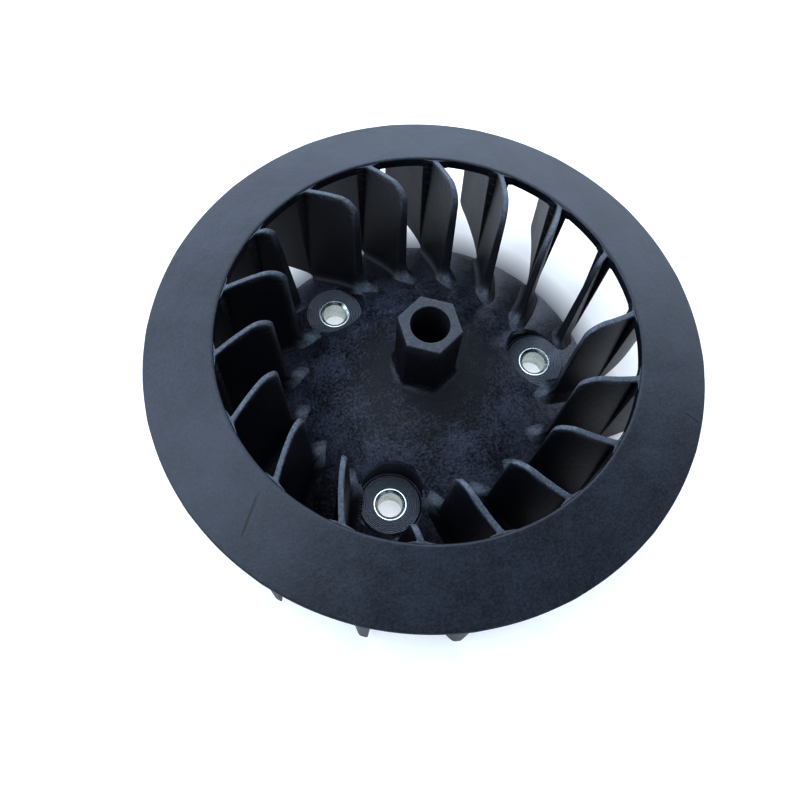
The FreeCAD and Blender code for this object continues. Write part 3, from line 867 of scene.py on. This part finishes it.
class Nodes:
    """A short way to write a material's node tree."""

    def __init__(self, name):
        self.material = bpy.data.materials.new(name)
        self.material.use_nodes = True
        self.tree = self.material.node_tree
        self.shader = self.tree.nodes["Principled BSDF"]
        self.place = self.add("ShaderNodeTexCoord").outputs["Object"]

    def add(self, kind, **settings):
        node = self.tree.nodes.new(kind)
        for key, value in settings.items():
            setattr(node, key, value)
        return node

    def link(self, source, target):
        self.tree.links.new(source, target)

    def noise(self, scale, detail, roughness):
        node = self.add("ShaderNodeTexNoise")
        node.inputs["Scale"].default_value = scale
        node.inputs["Detail"].default_value = detail
        node.inputs["Roughness"].default_value = roughness
        self.link(self.place, node.inputs["Vector"])
        return node.outputs["Fac"]

    def remap(self, value, low, high, to_low, to_high):
        node = self.add("ShaderNodeMapRange")
        node.inputs["From Min"].default_value = low
        node.inputs["From Max"].default_value = high
        node.inputs["To Min"].default_value = to_low
        node.inputs["To Max"].default_value = to_high
        self.link(value, node.inputs["Value"])
        return node.outputs["Result"]

    def math(self, operation, *values):
        node = self.add("ShaderNodeMath", operation=operation)
        for socket, value in zip(node.inputs, values):
            if isinstance(value, (int, float)):
                socket.default_value = value
            else:
                self.link(value, socket)
        return node.outputs["Value"]

    def plus(self, first, second):
        return self.math("ADD", first, second)

    def times(self, first, second):
        return self.math("MULTIPLY", first, second)

    def mix(self, share, first, second):
        node = self.add("ShaderNodeMix", data_type="RGBA")
        self.link(share, node.inputs["Factor"])
        for socket, colour in ((node.inputs[6], first), (node.inputs[7], second)):
            if isinstance(colour, tuple):
                socket.default_value = (*colour, 1.0)
            else:
                self.link(colour, socket)
        return node.outputs[2]

    def plan(self):
        flat = self.add("ShaderNodeVectorMath", operation="MULTIPLY")
        flat.inputs[1].default_value = (1, 1, 0)
        self.link(self.place, flat.inputs[0])
        return flat.outputs["Vector"]

    def axis_distance(self):
        length = self.add("ShaderNodeVectorMath", operation="LENGTH")
        self.link(self.plan(), length.inputs[0])
        return length.outputs["Value"]

    def collar_distance(self):
        plan = self.plan()
        nearest = 1.0
        for centre in COLLARS:
            away = self.add("ShaderNodeVectorMath", operation="DISTANCE")
            self.link(plan, away.inputs[0])
            away.inputs[1].default_value = (*centre * MM, 0)
            nearest = self.math("MINIMUM", away.outputs["Value"], nearest)
        return nearest

    def stroke(self, first, last, width):
        """1 on a straight line in plan between two (distance, azimuth) points, and 0 beside it."""
        start, end = polar(*first), polar(*last)
        run = (end - start).normalized()
        across = Vector((-run.y, run.x, 0))
        offset = self.add("ShaderNodeVectorMath", operation="SUBTRACT")
        self.link(self.place, offset.inputs[0])
        offset.inputs[1].default_value = (start + end) / 2
        masks = []
        for way, reach, solid in (
            (run, (end - start).length / 2, 0.6),
            (across, width * MM / 2, 0.5),
        ):
            share = self.add("ShaderNodeVectorMath", operation="DOT_PRODUCT")
            self.link(offset.outputs["Vector"], share.inputs[0])
            share.inputs[1].default_value = way
            away = self.math("ABSOLUTE", share.outputs["Value"])
            masks.append(self.remap(away, reach * solid, reach, 1.0, 0.0))
        return self.times(*masks)

    def bump(self, height, strength, distance, under=None):
        node = self.add("ShaderNodeBump")
        node.inputs["Strength"].default_value = strength
        node.inputs["Distance"].default_value = distance
        self.link(height, node.inputs["Height"])
        if under is not None:
            self.link(under, node.inputs["Normal"])
        return node.outputs["Normal"]


def make_plastic(name, dark, light, mottle, rough, pit, patch, nose_shade_and_turning=0.0, marks=()):
    """Glass-filled black nylon: cloudy mottling, fine pits, an uneven satin gloss and paler edges,
    from rubbing and from painted highlights. patch is how far the tone drifts from place to place.
    The nose shade argument paints shade near the spin axis, round the nose, and also turns the
    bosses' faces.
    marks are dark sunken lines."""
    n = Nodes(name)
    cloud = n.noise(CLOUD_SCALE, 5, 0.6)
    blotch = n.noise(BLOTCH_SCALE, 4, 0.6)
    grain = n.noise(GRAIN_SCALE, 3, 0.6)
    soft = n.plus(n.times(blotch, 0.4), n.times(cloud, 0.6))
    blend = n.plus(n.times(soft, 0.4), n.times(grain, 0.6))
    contrast = 0.18 / mottle
    shade = n.remap(blend, 0.5 - contrast, 0.5 + contrast, 0.0, 1.0)
    shade = n.plus(shade, n.remap(n.noise(DRIFT_SCALE, 3, 0.6), 0.35, 0.65, -patch, patch))
    # A mesh attribute of painted paleness: rubbing and painted highlights paint the skin paler, and
    # values below zero only make it duller.
    rub_and_highlight_share = n.add("ShaderNodeAttribute", attribute_name="wear_and_painted_highlight").outputs["Fac"]
    dull = n.remap(rub_and_highlight_share, -1.0, 0.0, 0.4, 0.0)
    height = blend
    # Painted shade of the nose's shadow: darker colour and a duller skin near the spin axis; the
    # same switch turns the bosses' faces.
    if nose_shade_and_turning:
        away = n.axis_distance()
        nose_shadow = n.remap(away, NOSE_SHADE_NEAR * MM, NOSE_SHADE_FAR * MM, -nose_shade_and_turning, 0.0)
        shade = n.math("MAXIMUM", n.plus(nose_shadow, shade), 0.0)
        off_nose = n.remap(away, NOSE_CLEAR * MM, (NOSE_CLEAR + 1) * MM, 0.0, -NOSE_SHADE_DULL)
        dull = n.plus(dull, n.times(nose_shadow, off_nose))
        near = n.collar_distance()
        face = n.remap(near, (BOSS_RADIUS - 0.3) * MM, (BOSS_RADIUS - 0.1) * MM, 1.0, 0.0)
        waves = n.math("SINE", n.times(near, 2 * math.pi / (TURNING_PITCH * MM)))
        rings = n.times(n.times(waves, face), grain)
        height = n.plus(height, rings)
    for first, last, width, depth in marks:
        cut = n.times(n.stroke(first, last, width), -depth)
        height = n.plus(height, cut)
        shade = n.plus(shade, cut)
    # Rubbing and painted highlights mix the colour towards the paler one, broken up by the grain.
    grainy_rub_and_highlight = n.times(rub_and_highlight_share, n.remap(grain, 0.35, 0.65, 0.5, 1.0))
    skin = n.mix(grainy_rub_and_highlight, n.mix(shade, dark, light), PALE_RUB_AND_HIGHLIGHT)
    if nose_shade_and_turning:
        skin = n.mix(n.plus(n.times(face, 0.6), n.times(rings, 0.7)), skin, TURNED)
    n.link(skin, n.shader.inputs["Base Color"])
    uneven = 0.05 * mottle
    gloss = n.remap(blend, 0.3, 0.7, rough - uneven, rough + uneven)
    n.link(n.plus(gloss, dull), n.shader.inputs["Roughness"])
    coarse = n.bump(soft, 1.0, COARSE_PIT * pit)
    n.link(n.bump(height, 1.0, FINE_PIT * pit, coarse), n.shader.inputs["Normal"])
    n.shader.inputs["IOR"].default_value = 1.5
    return n.material


def make_zinc():
    """Zinc plate with fine grain and cloudy passivation."""
    n = Nodes("zinc_plate")
    cloud = n.remap(n.noise(260, 3, 0.5), 0.35, 0.65, 0.0, 1.0)
    n.link(n.mix(cloud, (0.50, 0.54, 0.51), (0.66, 0.69, 0.66)), n.shader.inputs["Base Color"])
    n.shader.inputs["Metallic"].default_value = 1.0
    fine = n.noise(GRAIN_SCALE, 2, 0.5)
    n.link(n.remap(fine, 0.3, 0.7, 0.24, 0.36), n.shader.inputs["Roughness"])
    n.link(n.bump(fine, 0.12, 0.0001), n.shader.inputs["Normal"])
    return n.material


ring_plastic = make_plastic(
    "ring_nylon", dark=(0.003, 0.004, 0.007), light=(0.016, 0.020, 0.030),
    mottle=1.5, rough=0.38, pit=0.8, patch=0.25, marks=RING_MARKS,
)
hub_plastic = make_plastic(
    "hub_nylon", dark=(0.002, 0.0025, 0.005), light=(0.054, 0.058, 0.080),
    mottle=1.6, rough=0.36, pit=2.0, patch=0.3, nose_shade_and_turning=0.75,
)
blade_plastic = make_plastic(
    "blade_nylon", dark=(0.003, 0.004, 0.007), light=(0.006, 0.008, 0.012),
    mottle=1.0, rough=0.40, pit=0.6, patch=0.3,
)
blade_shader = blade_plastic.node_tree.nodes["Principled BSDF"]
blade_shader.inputs["Specular IOR Level"].default_value = 0.22
zinc = make_zinc()

make_ring()
make_hub()
make_blades()
make_collars()

# ---------------------------------------------------------------- floor, camera and light

FLOOR_REACH = 3.0
# The floor glows with painted light from the hub's edge outwards and under the bolt holes, lifting
# the shadow there.
GLOW_NEAR = 51.0
GLOW_FAR = 60.0
GLOW = 0.55
BOLT_GLOW = 0.6


def make_floor_material():
    """Matt white paper that glows with painted light outside the fan's hub, under the ring's
    overhang where its shadow falls, and under its bolt holes.
    """
    n = Nodes("white_floor")
    paper = n.mix(n.noise(30, 3, 0.5), (0.40, 0.40, 0.40), (0.43, 0.43, 0.425))
    n.link(paper, n.shader.inputs["Base Color"])
    n.shader.inputs["Roughness"].default_value = 0.8
    n.shader.inputs["Emission Color"].default_value = (0.94, 0.97, 1.0, 1.0)
    # Painted light: the floor glows round the hub, under the ring's shadow, and under the bolt
    # holes.
    painted_glow_round_hub = n.remap(n.axis_distance(), GLOW_NEAR * MM, GLOW_FAR * MM, 0.0, GLOW)
    bolt_hole, collar_edge = BOLT_RADIUS * MM, COLLAR_RADIUS * MM
    painted_glow_under_bolts = n.remap(n.collar_distance(), bolt_hole, collar_edge, BOLT_GLOW, 0.0)
    n.link(n.plus(painted_glow_round_hub, painted_glow_under_bolts), n.shader.inputs["Emission Strength"])
    return n.material


def make_floor():
    """A wide white floor under the mounting plane."""
    corners = [
        (x * FLOOR_REACH, y * FLOOR_REACH, cad_box[0].z)
        for x, y in ((-1, -1), (1, -1), (1, 1), (-1, 1))
    ]
    mesh = bpy.data.meshes.new("floor")
    mesh.from_pydata(corners, [], [(0, 1, 2, 3)])
    mesh.materials.append(make_floor_material())
    floor = bpy.data.objects.new("floor", mesh)
    bpy.context.scene.collection.objects.link(floor)


# The camera's angles are in radians, and its distance and shift in units of the ring's radius.
CAMERA_TURN = math.radians(-21.8)
CAMERA_RISE = 1.1725
CAMERA_ROLL = 0.1077
CAMERA_DISTANCE = 2.9456
CAMERA_SHIFT = (0.0961, 0.1965)
CAMERA_LENS = 37.04
CAMERA_SENSOR = 36.0


def make_camera():
    """The camera, placed about the middle of the ring's upper outer edge."""
    back = Vector((0, -math.cos(CAMERA_RISE), math.sin(CAMERA_RISE)))
    right = Vector((1, 0, 0))
    up = back.cross(right)
    level = math.cos(CAMERA_ROLL) * right + math.sin(CAMERA_ROLL) * up
    raised = -math.sin(CAMERA_ROLL) * right + math.cos(CAMERA_ROLL) * up
    place = CAMERA_DISTANCE * back - CAMERA_SHIFT[0] * level - CAMERA_SHIFT[1] * raised
    axes = Matrix((level, raised, back)).transposed().to_4x4()
    axes.translation = place * RING_RADIUS * MM
    data = bpy.data.cameras.new("camera")
    data.lens = CAMERA_LENS
    data.sensor_width = CAMERA_SENSOR
    data.clip_start = 0.01
    camera = bpy.data.objects.new("camera", data)
    bpy.context.scene.collection.objects.link(camera)
    lift = Matrix.Translation((0, 0, RING_EDGE * MM))
    camera.matrix_world = lift @ Matrix.Rotation(CAMERA_TURN, 4, "Z") @ axes
    bpy.context.scene.camera = camera


# Each side of the room brightens between two facings, from one strength to another.
BRIGHT_SIDE = (-0.35, 0.8, 0.49)
BRIGHT_RAMP = (-0.12, 0.42, 0.6, 3.05)
LEFT_SIDE = (-0.7, -0.35, 0.62)
LEFT_RAMP = (0.76, 0.97, 0.0, 1.4)
ROOM_COLOUR = (0.87, 1.0, 1.19, 1.0)
VIEW_GAMMA = 0.72


def make_world():
    """A pale room, brightest behind the object and to its left, and dim on the camera's side."""
    world = bpy.data.worlds.new("studio")
    world.use_nodes = True
    tree = world.node_tree
    place = tree.nodes.new("ShaderNodeTexCoord").outputs["Generated"]
    total = tree.nodes.new("ShaderNodeMath")
    sides = ((BRIGHT_SIDE, BRIGHT_RAMP), (LEFT_SIDE, LEFT_RAMP))
    for socket, (side, limits) in zip(total.inputs, sides):
        facing = tree.nodes.new("ShaderNodeVectorMath")
        facing.operation = "DOT_PRODUCT"
        tree.links.new(place, facing.inputs[0])
        facing.inputs[1].default_value = Matrix.Rotation(CAMERA_TURN, 3, "Z") @ Vector(side)
        ramp = tree.nodes.new("ShaderNodeMapRange")
        ramp.interpolation_type = "SMOOTHSTEP"
        for key, number in zip(("From Min", "From Max", "To Min", "To Max"), limits):
            ramp.inputs[key].default_value = number
        tree.links.new(facing.outputs["Value"], ramp.inputs["Value"])
        tree.links.new(ramp.outputs["Result"], socket)
    background = tree.nodes["Background"]
    background.inputs["Color"].default_value = ROOM_COLOUR
    tree.links.new(total.outputs["Value"], background.inputs["Strength"])
    bpy.context.scene.world = world


make_floor()
make_camera()
make_world()
bpy.context.scene.view_settings.view_transform = "Standard"
bpy.context.scene.view_settings.gamma = VIEW_GAMMA
